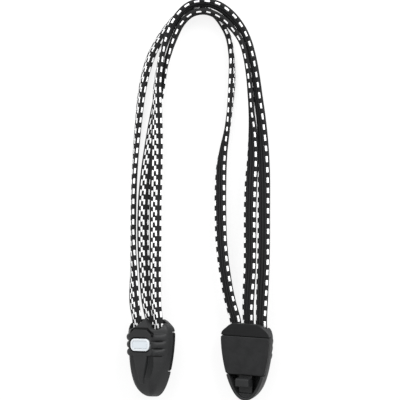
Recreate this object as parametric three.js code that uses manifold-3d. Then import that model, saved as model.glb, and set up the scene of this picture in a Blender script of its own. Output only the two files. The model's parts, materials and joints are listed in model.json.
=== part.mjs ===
// Luggage bungee for a bicycle carrier: three flat elastic straps held at both ends by moulded clips.
// Millimetres, +Z up. It lies on a table in a U, with the left clip front up and the right clip back up.
import * as THREE from 'three';
import { mergeVertices } from 'three/addons/utils/BufferGeometryUtils.js';
import Module from 'manifold-3d';

const wasm = await Module();
wasm.setup();

// Straps, flat with a swollen middle and narrow edges
const strapWidth = 10;
const strapThickness = 4.2;
const strapEdgePower = 1.67;
const strapPoints = 12;
const strapSteps = 80;

// Clip outline, measured along the clip from the middle of the reflector, tip downwards
const clipHalfWidth = 21.6;
const clipTip = -43.5;
const clipTop = 21;
const clipWidest = 9;
const topFlatHalf = 10.4;
const tipRoundness = 14.3;
const flankPull = 18;
const shoulderPull = 6.3;
const shoulderRoundness = 7.4;
const shoulderLean = 1.8;
const tipSteps = 11;
const tipEase = 1.3;
const shoulderSteps = 7;
const outlineSteps = 9;

// Clip depth, measured from its back plane
const crownHeight = 19.2;
const wallHeight = 10;
const wallShare = 0.6;
const tipRimHeight = 5;
const fallPowers = [3, 0.455];
const crownStart = -8;
const ridgeLine = 12.8;
const lipSlope = 0.86;
const crownFlat = 0.5;
const flankBulge = 0.12;
const tipBulge = 0.5;
const flankSteps = 7;

// Raised plateau and wedge on the front
const plateauRise = 1;
const plateauHalfWidth = 11.9;
const plateauChamfer = [5, 4.1];
const plateauFoot = 1;
const wedgeHalfWidth = 8;
const wedgeEnd = -32;
const wedgeEndHalfWidth = 1.6;
const wedgeFlare = 0.6;
const wedgeSteps = 6;
const scoopSize = [6, 14.5, 3.6];
const scoopOffset = 2.6;
const scoopSegments = [16, 10];

// Grip ribs on both flanks
const ribCount = 3;
const ribPitch = 6.3;
const ribSwell = 2.2;
const ribSink = 0.3;
const ribFoot = 1;
const ribHalfLength = 2.5;
const ribRoundness = 0.65;
const ribPeak = 0.38;
const ribSteps = 4;

// Reflector let into the plateau
const reflectorWidth = 20.5;
const reflectorHeight = 10.2;
const reflectorCorner = 4.2;
const reflectorDepth = 2.2;
const reflectorProud = 0.5;
const reflectorBorder = 1.9;
const reflectorBevel = 0.6;
const panelDepth = 0.9;
const seatGap = 0.7;

// Back plate and latch pocket
const plateTop = 10.4;
const plateBottom = -21.7;
const plateThickness = 2.7;
const moonRecess = 0.5;
const seamNotch = 1.3;
const pocketWall = 2.4;
const pocketTaper = 0.17;
const pocketTop = -5;
const pocketLow = -40.9;
const pocketDepth = 11.6;
const pocketRoot = -37.4;

// Latch tongue with its nose
const tongueHalfWidth = 5.8;
const tongueDepth = 2;
const tongueThickness = 2.3;
const tongueEnd = -22.1;
const noseEnd = -23.9;
const noseLength = 6.9;
const noseTop = -6.5;
const noseChamfer = 0.9;
const latchPivot = -35.4;
const hingeGroove = 0.7;

// Strap mouth, stop wall and the crimps behind it
const strapPitch = 11.7;
const outerStrapDepth = 9.5;
const middleStrapDepth = 8;
const stopWallBack = 8.7;
const chamberEnd = -1;
const chamberGap = 0.4;
const lipPeak = 22.4;
const lipNotch = 14.7;
const lipNotchHalf = 6.4;
const lipCorner = 4;
const mouthMargin = 0.5;
const crimpLength = 6;
const crimpWall = 0.35;
const crimpFold = 0.6;
const strapTail = 0.4;
const mouthFlare = 11.5;
const mouthLean = 1.5;
const mouthRun = 1.5;
const mouthSteps = 3;

// Clearances
const gap = 0.3;
const slotGap = 0.3;
const crimpGap = 0.15;
const over = 5;

const mouthHalfWidth = strapPitch + strapWidth / 2 + slotGap + mouthMargin;
const chamberHalfWidth = strapPitch + strapWidth / 2 + crimpGap + crimpWall + chamberGap;
const chamberDepth = outerStrapDepth + strapThickness / 2 + crimpGap + crimpFold + chamberGap;

// Places of the two clips on the table
const leftClipPlace = [-36.6, 12.9];
const rightClipPlace = [36.8, 9.1];
const leftRoll = 41;
const rightRoll = 23;
const rightPitch = 8;

// Free run of each strap from the left clip over the arch to the right clip: x, y, z and roll in degrees.
// At a roll of 0 the strap stands on edge with its patterned face outwards; at 90 that face is up.
const strapRoutes = {
  strap_outer: [
    [-36.6, 49.6, 27.5, 55], [-37.2, 74.6, 25.6, 62], [-37, 99.6, 24.2, 68], [-37, 126.6, 23.2, 72],
    [-36.4, 152.6, 22.6, 76], [-35.8, 178.6, 22.1, 78], [-35.5, 203.6, 21.6, 74], [-35.4, 226.6, 20.8, 60],
    [-32.7, 247.6, 19.5, 33], [-27.9, 265.6, 18, 14], [-21.3, 281.1, 16.5, 4], [-10.6, 293, 15.8, 0],
    [1.6, 296.7, 15.5, 0], [13.8, 294.3, 15.5, 0], [24.1, 287.3, 15.5, 0], [32.7, 277.1, 15.5, 0],
    [38.5, 265.6, 15.5, -1], [42.4, 252.6, 15.6, -3], [45.6, 236.6, 15.8, -6], [48.1, 218.6, 16.1, -12],
    [50.8, 198.6, 16.5, -24], [52.4, 174.6, 17, -50], [52.9, 149.6, 17.8, -68], [52.8, 124.6, 19, -78],
    [52.7, 99.6, 20.6, -82], [52.2, 76.6, 22.2, -80], [51.5, 57.6, 23.2, -74], [51.1, 44.6, 23.5, -69],
  ],
  strap_inner: [
    [-44.4, 49.6, 17.8, 55], [-46.1, 72.6, 16.2, 62], [-47.3, 95.6, 15.1, 68], [-47.3, 119.6, 14.3, 70],
    [-46.1, 141.6, 13.6, 68], [-43.5, 164.6, 12.7, 62], [-40.3, 186.6, 11.6, 54], [-36.6, 207.6, 10.4, 42],
    [-33, 225.6, 9.8, 30], [-29.5, 242.6, 10, 18], [-25.9, 254.6, 11, 10], [-21.7, 266.6, 12.4, 4],
    [-15.9, 278.6, 14, 1], [-7.6, 286.8, 15.3, 0], [2.4, 289.3, 15.8, 0], [11.5, 287.1, 15.9, 0],
    [20.9, 281, 15.9, 0], [28.9, 272.6, 15.6, 0], [34.8, 262.9, 15, -1], [38.1, 251.3, 14.5, -2],
    [40.3, 237.1, 14.2, -3], [41.7, 222.1, 14, -5], [42.7, 207.1, 14, -8], [43.8, 188.6, 14.3, -15],
    [43.7, 167.6, 15, -35], [42.3, 147.6, 15.8, -55], [41.5, 124.6, 17, -70], [41.4, 99.6, 18.6, -78],
    [41.1, 76.6, 20, -80], [40.2, 57.6, 20.9, -74], [39.7, 44.6, 20.9, -69],
  ],
  strap_crossing: [
    [-54.7, 49.6, 13.7, 36], [-55.1, 74.6, 12.1, 22], [-55.5, 99.6, 11, 15], [-55.3, 126.1, 10, 13],
    [-54.6, 151, 9, 14], [-53.2, 174.2, 8.2, 17], [-51.3, 197.5, 7.4, 19], [-49.1, 217.4, 6.7, 18],
    [-45.8, 235.6, 6.1, 14], [-41.4, 250.6, 5.7, 9], [-35.8, 262.2, 5.4, 4], [-29.2, 273, 5.25, 1],
    [-21.3, 283.4, 5.2, 0], [-11.7, 290.4, 5.1, 0], [-2.6, 292.7, 5.1, 0], [5.7, 291, 5.1, 0],
    [13.2, 285.5, 5.1, 0], [19, 277.6, 5.1, 0], [23.4, 268.5, 5.1, 0], [25.6, 257.2, 5.1, 0],
    [26.5, 244, 5.1, 0], [26.4, 229, 5.2, -2], [25, 210.8, 5.5, -8], [22.7, 192.5, 5.8, -20],
    [19.8, 175.9, 6.2, -38], [17.7, 159.3, 6.8, -58], [16.9, 139.4, 7.8, -70], [16.9, 119.6, 9, -74],
    [17.4, 100.6, 10.4, -75], [19, 82.6, 12, -73], [20.7, 70.6, 13.1, -71], [22.8, 58, 13.9, -69],
    [25.4, 46.6, 14.2, -68],
  ],
};

// Each strap's slot in the left clip, counted across from its middle; the right clip is turned over.
const strapSlots = { strap_outer: 1, strap_inner: 0, strap_crossing: -1 };

const finish = (color, roughness, metalness = 0) =>
  new THREE.MeshStandardMaterial({ color, roughness, metalness });
const clipPlastic = () => finish(0x353638, 0.55);
const platePlastic = () => finish(0x2f3032, 0.6);
const elastic = () => finish(0x17181a, 0.9);
const reflectorWhite = () => finish(0xf3f6f9, 0.3);
const reflectorFilm = () => finish(0xdde5ef, 0.22);
const crimpSteel = () => finish(0xa9adb2, 0.35, 1);

const point = (x, y, z) => new THREE.Vector3(x, y, z);

// Closed body through rings of points that run anticlockwise about the direction of travel
function loft(rings) {
  const count = rings[0].length;
  const last = (rings.length - 1) * count;
  const index = [];
  for (let start = 0; start < last; start += count) {
    for (let k = 0; k < count; k++) {
      const a = start + k;
      const b = start + ((k + 1) % count);
      index.push(a, b, b + count, a, b + count, a + count);
    }
  }
  for (let k = 1; k + 1 < count; k++) {
    index.push(0, k + 1, k);
    index.push(last, last + k, last + k + 1);
  }
  const places = rings.flat().flatMap((p) => p.toArray());
  const geometry = new THREE.BufferGeometry();
  geometry.setAttribute('position', new THREE.Float32BufferAttribute(places, 3));
  geometry.setIndex(index);
  return geometry;
}

function solid(geometry) {
  const bare = geometry.clone();
  bare.deleteAttribute('normal');
  bare.deleteAttribute('uv');
  const merged = mergeVertices(bare, 1e-4);
  const vertProperties = new Float32Array(merged.attributes.position.array);
  const triVerts = new Uint32Array(merged.index.array);
  return new wasm.Manifold(new wasm.Mesh({ numProp: 3, vertProperties, triVerts }));
}

function toGeometry(manifold) {
  const mesh = manifold.getMesh();
  const geometry = new THREE.BufferGeometry();
  geometry.setAttribute('position', new THREE.BufferAttribute(new Float32Array(mesh.vertProperties), 3));
  geometry.setIndex(new THREE.BufferAttribute(new Uint32Array(mesh.triVerts), 1));
  geometry.computeVertexNormals();
  return geometry;
}

function block(x0, x1, y0, y1, z0, z1) {
  const box = new THREE.BoxGeometry(x1 - x0, y1 - y0, z1 - z0);
  return solid(box.translate((x0 + x1) / 2, (y0 + y1) / 2, (z0 + z1) / 2));
}

function extruded(shape, z0, z1, curveSegments = 6) {
  const geometry = new THREE.ExtrudeGeometry(shape, { depth: z1 - z0, bevelEnabled: false, curveSegments });
  return solid(geometry.translate(0, 0, z0));
}

function polygon(points) {
  return new THREE.Shape(points.map(([x, y]) => new THREE.Vector2(x, y)));
}

function bothSides(right) {
  return [...right, ...right.map(([x, y]) => [-x, y]).reverse()];
}

function mirrored(right) {
  return polygon(bothSides(right));
}

function roundedRectangle(width, height, corner) {
  const x = width / 2;
  const y = height / 2;
  const shape = new THREE.Shape();
  shape.moveTo(x - corner, -y);
  shape.absarc(x - corner, corner - y, corner, -Math.PI / 2, 0);
  shape.absarc(x - corner, y - corner, corner, 0, Math.PI / 2);
  shape.absarc(corner - x, y - corner, corner, Math.PI / 2, Math.PI);
  shape.absarc(corner - x, corner - y, corner, Math.PI, 1.5 * Math.PI);
  return shape;
}

// Right half of the clip's egg outline, from the tip up to the strap mouth
const lowerOutline = new THREE.CubicBezierCurve(
  new THREE.Vector2(0, clipTip),
  new THREE.Vector2(tipRoundness, clipTip),
  new THREE.Vector2(clipHalfWidth, clipWidest - flankPull),
  new THREE.Vector2(clipHalfWidth, clipWidest),
);
const upperOutline = new THREE.CubicBezierCurve(
  new THREE.Vector2(clipHalfWidth, clipWidest),
  new THREE.Vector2(clipHalfWidth, clipWidest + shoulderPull),
  new THREE.Vector2(topFlatHalf + shoulderRoundness, clipTop),
  new THREE.Vector2(topFlatHalf, clipTop),
);

function halfWidthAt(y) {
  const curve = y < clipWidest ? lowerOutline : upperOutline;
  let low = 0;
  let high = 1;
  for (let turn = 0; turn < 40; turn++) {
    const middle = (low + high) / 2;
    if (curve.getPoint(middle).y < y) low = middle;
    else high = middle;
  }
  return curve.getPoint(low).x;
}

// Height of the domed front above the back plane
function frontHeight(y) {
  if (y > ridgeLine) return crownHeight - (y - ridgeLine) * lipSlope;
  if (y > crownStart) return crownHeight;
  const [inner, outer] = fallPowers;
  const fall = Math.min(1, (crownStart - y) / (crownStart - clipTip));
  return tipRimHeight + (crownHeight - tipRimHeight) * (1 - fall ** inner) ** outer;
}

// Cross-section of the dome: walls that lean in at the shoulder, rounded flanks and a flat crown.
// A rib is the same section, sunk a little at its ends and swollen along the upper part of the flank.
function domeRing(y, halfWidth, sink = 0, swell = 0, peak = 0.5) {
  const height = frontHeight(y) - sink;
  const wall = Math.min(wallHeight, wallShare * height);
  const reach = halfWidth - sink;
  const flat = crownFlat * halfWidth;
  const fullness = THREE.MathUtils.lerp(flankBulge, tipBulge, Math.max(0, y / clipTip));
  const bulge = fullness * (reach - flat) + swell;
  const flank = new THREE.QuadraticBezierCurve(
    new THREE.Vector2(flat, height),
    new THREE.Vector2(
      THREE.MathUtils.lerp(flat, reach, peak) + bulge,
      THREE.MathUtils.lerp(height, wall, peak) + bulge,
    ),
    new THREE.Vector2(reach, wall),
  ).getPoints(flankSteps);
  const right = flank.map(({ x, y: z }) => point(x, y, z));
  const left = flank.map(({ x, y: z }) => point(-x, y, z)).reverse();
  const base = reach - shoulderLean * THREE.MathUtils.smoothstep(y, clipWidest, clipTop);
  return [...right, point(base, y, 0), point(-base, y, 0), ...left];
}

function domeBody() {
  const rings = [];
  for (let step = 1; step <= tipSteps; step++) {
    const { x, y } = lowerOutline.getPoint((step / (tipSteps + 1)) ** tipEase);
    rings.push(domeRing(y, x));
  }
  for (let step = 0; step <= shoulderSteps; step++) {
    const { x, y } = upperOutline.getPoint(step / shoulderSteps);
    rings.push(domeRing(y, x));
  }
  return solid(loft(rings));
}

// Plateau round the reflector, and the wedge that tapers from it towards the tip
function plateau() {
  const [chamferX, chamferY] = plateauChamfer;
  const x = plateauHalfWidth;
  const corner = ridgeLine - chamferY;
  const foot = [x - plateauFoot, crownStart - plateauFoot];
  const right = [foot, [x, crownStart], [x, corner], [x - chamferX, ridgeLine]];
  return extruded(mirrored(right), wallHeight, crownHeight + plateauRise);
}

function wedge() {
  const rings = [];
  for (let step = 0; step <= wedgeSteps; step++) {
    const y = THREE.MathUtils.lerp(wedgeEnd, crownStart + plateauFoot, step / wedgeSteps);
    const half = THREE.MathUtils.lerp(wedgeEndHalfWidth, wedgeHalfWidth, step / wedgeSteps);
    const top = frontHeight(y) + plateauRise;
    const foot = half + wedgeFlare;
    const right = [point(half, y, top), point(foot, y, wallHeight)];
    rings.push([...right, point(-foot, y, wallHeight), point(-half, y, top)]);
  }
  return solid(loft(rings));
}

// Scooped trough beside the wedge
function scoop(side) {
  const middle = (crownStart + wedgeEnd) / 2;
  const lean = Math.atan2(wedgeHalfWidth - wedgeEndHalfWidth, crownStart - wedgeEnd);
  const across = (wedgeHalfWidth + wedgeEndHalfWidth) / 2 + scoopOffset;
  const ball = new THREE.SphereGeometry(1, ...scoopSegments);
  ball.scale(...scoopSize);
  ball.rotateZ(-side * lean);
  ball.translate(side * across, middle, frontHeight(middle) + plateauRise);
  return solid(ball);
}

function gripRibs(middle) {
  const rings = [];
  for (let step = 0; step <= ribSteps; step++) {
    const along = (2 * step) / ribSteps - 1;
    const y = middle + along * ribHalfLength;
    const swell = ribSwell * (1 - along * along) ** ribRoundness;
    rings.push(domeRing(y, halfWidthAt(y), ribSink, swell, ribPeak));
  }
  const wide = clipHalfWidth + over;
  const foot = block(-wide, wide, middle - over, middle + over, -over, wallHeight - ribFoot);
  return solid(loft(rings)).subtract(foot);
}

// Right half of the outline between two places along the clip, drawn in by a wall
function outlineBetween(low, high, wall = 0) {
  const right = [];
  for (let step = 0; step <= outlineSteps; step++) {
    const y = THREE.MathUtils.lerp(low, high, step / outlineSteps);
    right.push([halfWidthAt(y) - wall, y]);
  }
  return right;
}

// Pocket for the bracket's tab: its walls lean in with depth, and a land at the tip carries the tongue
function tabPocket() {
  const ring = (z) => {
    const right = outlineBetween(pocketLow, pocketTop, pocketWall + pocketTaper * z);
    return bothSides(right).map(([x, y]) => point(x, y, z));
  };
  const half = tongueHalfWidth + gap;
  const land = block(-half, half, clipTip, pocketRoot, tongueDepth, pocketDepth + over);
  return solid(loft([ring(-over), ring(pocketDepth)])).subtract(land);
}

// V-shaped notches in the silhouette at both ends of the back plate
function seamNotches() {
  const cuts = [plateTop, plateBottom].flatMap((y) => [-1, 1].map((side) => {
    const x = side * (halfWidthAt(y) + gap);
    const diamond = polygon([[x - seamNotch, y], [x, y - seamNotch], [x + seamNotch, y], [x, y + seamNotch]]);
    return extruded(diamond, -over, plateThickness + seamNotch);
  }));
  return wasm.Manifold.union(cuts);
}

// Mouth cut: the front lip rises to a peak over the middle strap and dips where the outer straps enter
function mouthCut() {
  const shape = new THREE.Shape();
  shape.moveTo(-mouthHalfWidth, clipTop + over);
  shape.lineTo(-mouthHalfWidth, lipNotch + lipCorner);
  shape.quadraticCurveTo(-mouthHalfWidth, lipNotch, -strapPitch, lipNotch);
  shape.quadraticCurveTo(-lipNotchHalf, lipNotch, 0, lipPeak);
  shape.quadraticCurveTo(lipNotchHalf, lipNotch, strapPitch, lipNotch);
  shape.quadraticCurveTo(mouthHalfWidth, lipNotch, mouthHalfWidth, lipNotch + lipCorner);
  shape.lineTo(mouthHalfWidth, clipTop + over);
  return extruded(shape, outerStrapDepth - strapThickness / 2 - mouthLean - slotGap, crownHeight + over);
}

const slotDepth = (slot) => (slot === 0 ? middleStrapDepth : outerStrapDepth);

function strapSlot(slot) {
  const half = strapWidth / 2 + slotGap;
  const rise = strapThickness / 2 + slotGap;
  const x = slot * strapPitch;
  const z = slotDepth(slot);
  const slit = block(x - half, x + half, stopWallBack - gap, clipTop + over, z - rise, z + rise);
  if (slot === 0) return slit;
  const flare = rise + mouthLean;
  return slit.add(block(x - half, x + half, mouthFlare, clipTop + over, z - flare, z + flare));
}

function clipShell() {
  const wide = clipHalfWidth + over;
  const ribs = Array.from({ length: ribCount }, (_, k) => gripRibs((k - (ribCount - 1) / 2) * ribPitch));
  const seat = roundedRectangle(
    reflectorWidth + 2 * seatGap,
    reflectorHeight + 2 * seatGap,
    reflectorCorner + seatGap,
  );
  const seatFloor = crownHeight + plateauRise - reflectorDepth;
  const dome = domeBody().subtract(scoop(-1)).subtract(scoop(1));
  const body = wasm.Manifold.union([dome, plateau(), wedge(), ...ribs]);
  const cuts = [
    block(-wide, wide, plateBottom - gap, plateTop + gap, -over, plateThickness + gap),
    block(-wide, wide, plateTop, clipTop + over, -over, moonRecess),
    seamNotches(),
    block(-chamberHalfWidth, chamberHalfWidth, chamberEnd, stopWallBack, 0, chamberDepth),
    mouthCut(),
    ...[-1, 0, 1].map(strapSlot),
    tabPocket(),
    extruded(seat, seatFloor, crownHeight + over),
  ];
  return toGeometry(body.subtract(wasm.Manifold.union(cuts)));
}

function backPlate() {
  const plate = extruded(mirrored(outlineBetween(plateBottom, plateTop)), 0, plateThickness);
  return toGeometry(plate.subtract(seamNotches()));
}

// Side view drawn along the clip and in depth, then stretched across it
function sideExtruded(points, halfWidth) {
  const geometry = new THREE.ExtrudeGeometry(polygon(points), { depth: 2 * halfWidth, bevelEnabled: false });
  const turned = new THREE.Matrix4().makeBasis(point(0, 1, 0), point(0, 0, 1), point(1, 0, 0));
  return geometry.translate(0, 0, -halfWidth).applyMatrix4(turned);
}

// Tongue that bends at its grooved root, with a nose that stands proud of the back plate
function latchTongue() {
  const root = pocketRoot + gap;
  const far = tongueDepth + tongueThickness;
  const noseLow = noseEnd - noseLength;
  const profile = [
    [root, tongueDepth], [noseLow, tongueDepth], [noseLow, noseTop + 2 * noseChamfer],
    [noseLow + noseChamfer, noseTop], [noseEnd - noseChamfer, noseTop], [noseEnd, noseTop + noseChamfer],
    [noseEnd, tongueDepth], [tongueEnd, tongueDepth], [tongueEnd, far - noseChamfer],
    [tongueEnd - noseChamfer, far], [latchPivot + hingeGroove, far], [latchPivot, far - hingeGroove],
    [latchPivot - hingeGroove, far], [root, far],
  ];
  return sideExtruded(profile, tongueHalfWidth);
}

function reflectorBase() {
  const top = crownHeight + plateauRise + reflectorProud;
  const seatFloor = crownHeight + plateauRise - reflectorDepth + gap;
  const outline = roundedRectangle(reflectorWidth, reflectorHeight, reflectorCorner);
  const face = roundedRectangle(
    reflectorWidth - 2 * reflectorBevel,
    reflectorHeight - 2 * reflectorBevel,
    reflectorCorner - reflectorBevel,
  );
  const ring = (shape, z) => shape.getPoints(6).slice(0, -1).map(({ x, y }) => point(x, y, z));
  const rings = [ring(outline, seatFloor), ring(outline, top - reflectorBevel), ring(face, top)];
  const window = roundedRectangle(
    reflectorWidth - 2 * reflectorBorder,
    reflectorHeight - 2 * reflectorBorder,
    reflectorCorner - reflectorBorder,
  );
  return toGeometry(solid(loft(rings)).subtract(extruded(window, top - panelDepth, top + over)));
}

function reflectorPanel() {
  const top = crownHeight + plateauRise + reflectorProud;
  const border = reflectorBorder + gap / 2;
  const shape = roundedRectangle(
    reflectorWidth - 2 * border,
    reflectorHeight - 2 * border,
    reflectorCorner - border,
  );
  return toGeometry(extruded(shape, top - panelDepth + gap / 2, top - gap / 2));
}

// Folded steel crimp round the end of a strap, stopped behind the slotted wall
function strapCrimp(slot) {
  const x = slot * strapPitch;
  const z = slotDepth(slot);
  const top = stopWallBack - gap;
  const innerX = strapWidth / 2 + crimpGap;
  const innerZ = strapThickness / 2 + crimpGap;
  const outerX = innerX + crimpWall;
  const outerZ = innerZ + crimpFold;
  const sleeve = block(x - outerX, x + outerX, top - crimpLength, top, z - outerZ, z + outerZ);
  const opening = block(x - innerX, x + innerX, -over, top + over, z - innerZ, z + innerZ);
  return toGeometry(sleeve.subtract(opening));
}

// Strap section, as steps out of its patterned face and along its width
function strapSection() {
  return Array.from({ length: strapPoints }, (_, k) => {
    const angle = (2 * Math.PI * k) / strapPoints;
    const swell = Math.abs(Math.cos(angle)) ** strapEdgePower;
    const out = Math.sign(Math.cos(angle)) * swell * strapThickness / 2;
    return [out, Math.sin(angle) * strapWidth / 2];
  });
}

// Points of a strap inside a clip; an outer strap leans to the upper side of the flared mouth
function strapEnds(clip, slot, upperSide) {
  const end = stopWallBack - gap - crimpLength - strapTail;
  const lean = slot === 0 ? 0 : mouthLean * upperSide;
  const ends = [];
  for (let step = 0; step <= mouthSteps; step++) {
    const y = THREE.MathUtils.lerp(end, clipTop + mouthRun, step / mouthSteps);
    const lift = lean * THREE.MathUtils.smoothstep(y, mouthFlare, clipTop + mouthRun);
    ends.push(clip.localToWorld(point(slot * strapPitch, y, slotDepth(slot) + lift)));
  }
  return ends;
}

function strapBody(route, leftEnds, rightEnds) {
  const free = route.map(([x, y, z]) => point(x, y, z));
  const line = [...leftEnds, ...free, ...[...rightEnds].reverse()];
  const leftRolls = leftEnds.map(() => 90 - leftRoll);
  const rightRolls = rightEnds.map(() => rightRoll - 90);
  const rolls = [...leftRolls, ...route.map((place) => place[3]), ...rightRolls];
  const path = new THREE.CatmullRomCurve3(line, false, 'catmullrom');
  const twist = new THREE.CatmullRomCurve3(rolls.map((roll) => point(roll, 0, 0)), false, 'catmullrom');
  const section = strapSection();
  const up = point(0, 0, 1);
  const rings = [];
  for (let step = 0; step <= strapSteps; step++) {
    const t = step / strapSteps;
    const middle = path.getPoint(t);
    const along = path.getTangent(t);
    const outwards = up.clone().cross(along).normalize();
    const upwards = along.clone().cross(outwards);
    const roll = THREE.MathUtils.degToRad(twist.getPoint(t).x);
    const face = outwards.clone().multiplyScalar(Math.cos(roll)).addScaledVector(upwards, Math.sin(roll));
    const across = upwards.clone().multiplyScalar(Math.cos(roll)).addScaledVector(outwards, -Math.sin(roll));
    const place = ([out, w]) => middle.clone().addScaledVector(face, out).addScaledVector(across, w);
    rings.push(section.map(place));
  }
  return loft(rings);
}

function mesh(name, geometry, material) {
  const node = new THREE.Mesh(geometry, material);
  node.name = name;
  return node;
}

const clipGeometry = {
  shell: clipShell(),
  backPlate: backPlate(),
  tongue: latchTongue(),
  reflector: reflectorBase(),
  panel: reflectorPanel(),
};

function clip(side) {
  const group = new THREE.Group();
  group.add(mesh(`${side}_clip_shell`, clipGeometry.shell, clipPlastic()));
  group.add(mesh(`${side}_back_plate`, clipGeometry.backPlate, platePlastic()));
  group.add(mesh(`${side}_latch_tongue`, clipGeometry.tongue, clipPlastic()));
  group.add(mesh(`${side}_reflector`, clipGeometry.reflector, reflectorWhite()));
  group.add(mesh(`${side}_reflector_film`, clipGeometry.panel, reflectorFilm()));
  for (const [strap, slot] of Object.entries(strapSlots)) {
    const across = side === 'left' ? slot : -slot;
    group.add(mesh(`${side}_crimp_${strap.replace('strap_', '')}`, strapCrimp(across), crimpSteel()));
  }
  return group;
}

// Turn a clip to its place and let its lowest point touch the table
function rest(group, [x, y], pitch, turn) {
  group.rotation.set(THREE.MathUtils.degToRad(pitch), THREE.MathUtils.degToRad(turn), 0);
  group.position.set(x, y, 0);
  group.updateMatrixWorld(true);
  group.position.z -= new THREE.Box3().setFromObject(group, true).min.z;
  group.updateMatrixWorld(true);
  return group;
}

const bungee = new THREE.Group();
const leftClip = rest(clip('left'), leftClipPlace, 0, -leftRoll);
const rightClip = rest(clip('right'), rightClipPlace, rightPitch, 180 - rightRoll);
bungee.add(leftClip, rightClip);
for (const [name, route] of Object.entries(strapRoutes)) {
  const slot = strapSlots[name];
  const body = strapBody(route, strapEnds(leftClip, slot, 1), strapEnds(rightClip, -slot, -1));
  bungee.add(mesh(name, body, elastic()));
}

export default bungee;
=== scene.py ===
import json
import math
from functools import reduce

import bpy
import numpy as np
from mathutils import Matrix, Vector


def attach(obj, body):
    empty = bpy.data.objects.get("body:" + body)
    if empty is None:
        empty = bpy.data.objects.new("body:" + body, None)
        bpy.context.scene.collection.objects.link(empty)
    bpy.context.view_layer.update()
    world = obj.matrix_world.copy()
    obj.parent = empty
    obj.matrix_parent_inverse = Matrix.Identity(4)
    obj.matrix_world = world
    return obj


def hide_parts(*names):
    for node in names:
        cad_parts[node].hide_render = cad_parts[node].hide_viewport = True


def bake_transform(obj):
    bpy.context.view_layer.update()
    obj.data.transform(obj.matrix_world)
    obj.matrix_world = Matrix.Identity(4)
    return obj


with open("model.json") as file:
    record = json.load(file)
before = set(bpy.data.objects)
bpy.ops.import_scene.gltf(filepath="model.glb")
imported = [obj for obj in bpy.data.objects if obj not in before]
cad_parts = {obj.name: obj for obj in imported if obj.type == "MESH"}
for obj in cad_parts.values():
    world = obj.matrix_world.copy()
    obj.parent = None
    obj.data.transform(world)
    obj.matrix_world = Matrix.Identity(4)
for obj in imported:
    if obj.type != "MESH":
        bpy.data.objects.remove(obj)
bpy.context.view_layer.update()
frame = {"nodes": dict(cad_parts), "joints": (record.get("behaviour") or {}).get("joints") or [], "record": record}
cadNodes = frame["nodes"]
record = frame["record"]
scene = bpy.context.scene
mm = 0.001

# Camera straight above the table
picture = {
    "centre": (-0.1, 132.7, 15),  # mm, the middle of the picture
    "width": 332,  # mm of table across the picture
    "lens": 400,
    "sensor": 36,
}


def makeCamera():
    data = bpy.data.cameras.new("tableCamera")
    data.lens = picture["lens"]
    data.sensor_width = picture["sensor"]
    away = picture["width"] * data.lens / data.sensor_width
    x, y, z = picture["centre"]
    camera = bpy.data.objects.new("tableCamera", data)
    camera.location = Vector((x, y, z + away)) * mm
    scene.collection.objects.link(camera)
    scene.camera = camera


makeCamera()
print("camera placed")


# Small helpers for shader nodes
def feed(tree, socket, value):
    if isinstance(value, bpy.types.NodeSocket):
        tree.links.new(value, socket)
    else:
        socket.default_value = value


def addNode(tree, kind, values=None, **settings):
    node = tree.nodes.new(kind)
    for key, value in settings.items():
        setattr(node, key, value)
    for key, value in (values or {}).items():
        feed(tree, node.inputs[key], value)
    return node


def math2(tree, operation, *values):
    return addNode(tree, "ShaderNodeMath", dict(enumerate(values)), operation=operation).outputs[0]


def blendColour(tree, factor, first, second):
    values = {0: factor, 6: first, 7: second}
    return addNode(tree, "ShaderNodeMix", values, data_type="RGBA").outputs[2]


def remap(tree, value, low, high, newLow, newHigh):
    values = dict(enumerate((value, low, high, newLow, newHigh)))
    return addNode(tree, "ShaderNodeMapRange", values, interpolation_type="SMOOTHSTEP").outputs[0]


# Noise as it comes, and the span of its values spread from the least to 1
def noise(tree, place, look, scale):
    values = {"Vector": place, "Scale": scale, "Detail": look["detail"], "Roughness": look["roughness"]}
    raw = addNode(tree, "ShaderNodeTexNoise", values).outputs[0]
    return raw, remap(tree, raw, *look["span"], look["least"], 1.0)


def bumpNormal(tree, height, distance):
    return addNode(tree, "ShaderNodeBump", {"Height": height, "Distance": distance}).outputs["Normal"]


def newGroup(name, inputs, outputs):
    tree = bpy.data.node_groups.new(name, "ShaderNodeTree")
    for way, sockets in (("INPUT", inputs), ("OUTPUT", outputs)):
        for label, kind in sockets.items():
            tree.interface.new_socket(label, in_out=way, socket_type="NodeSocket" + kind)
    return tree, tree.nodes.new("NodeGroupInput").outputs, tree.nodes.new("NodeGroupOutput").inputs


def placeGroup(tree, group, values):
    return addNode(tree, "ShaderNodeGroup", values, node_tree=group).outputs


def newMaterial(name):
    material = bpy.data.materials.new(name)
    material.use_nodes = True
    return material, material.node_tree


def setShader(material, values):
    inputs = material.node_tree.nodes["Principled BSDF"].inputs
    for key, value in values.items():
        feed(material.node_tree, inputs[key], value)
    return material


grainNoise = {"detail": 2.0, "roughness": 0.55, "span": (0.35, 0.65), "least": 0.0, "share": 0.55}
cloudNoise = {
    "scale": 140.0,
    "detail": 4.0,
    "roughness": 0.5,
    "span": (0.3, 0.7),
    "least": 0.0,
    "share": 0.45,
}
rubNoise = {"scale": 420.0, "detail": 3.0, "roughness": 0.5, "span": (0.3, 0.6), "least": 0.35}
fibreNoise = {"scale": 5.0, "detail": 3.0, "roughness": 0.5, "span": (0.25, 0.7), "least": 0.45}
yarnFullness = 0.6  # power that flattens the top of a yarn


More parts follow.
